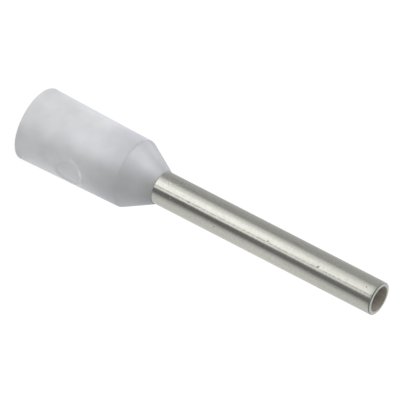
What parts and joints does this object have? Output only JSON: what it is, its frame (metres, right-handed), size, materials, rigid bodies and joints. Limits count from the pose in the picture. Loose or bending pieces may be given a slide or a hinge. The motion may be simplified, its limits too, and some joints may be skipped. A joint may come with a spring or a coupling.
{
  "type": "wire ferrule",
  "caption": "Insulated bootlace ferrule: a slim tinned copper crimp tube whose flared end sits in a tapered white plastic collar, for the stripped end of a stranded wire.",
  "frame": {"origin": "centre of the collar's mouth, on the flat rim that the ferrule stands on", "axes": "+Z along the axis from the mouth to the tube's tip; +X and +Y are free"},
  "size_m": [0.003, 0.003, 0.016],
  "materials": {
    "collar_plastic": "satin, injection moulded, slightly translucent",
    "tinned_copper": "bright drawn tube, electro-tinned, with fine draw lines"
  },
  "bodies": {
    "root": {"collar": "collar_plastic", "crimp_tube": "tinned_copper"}
  },
  "joints": []
}
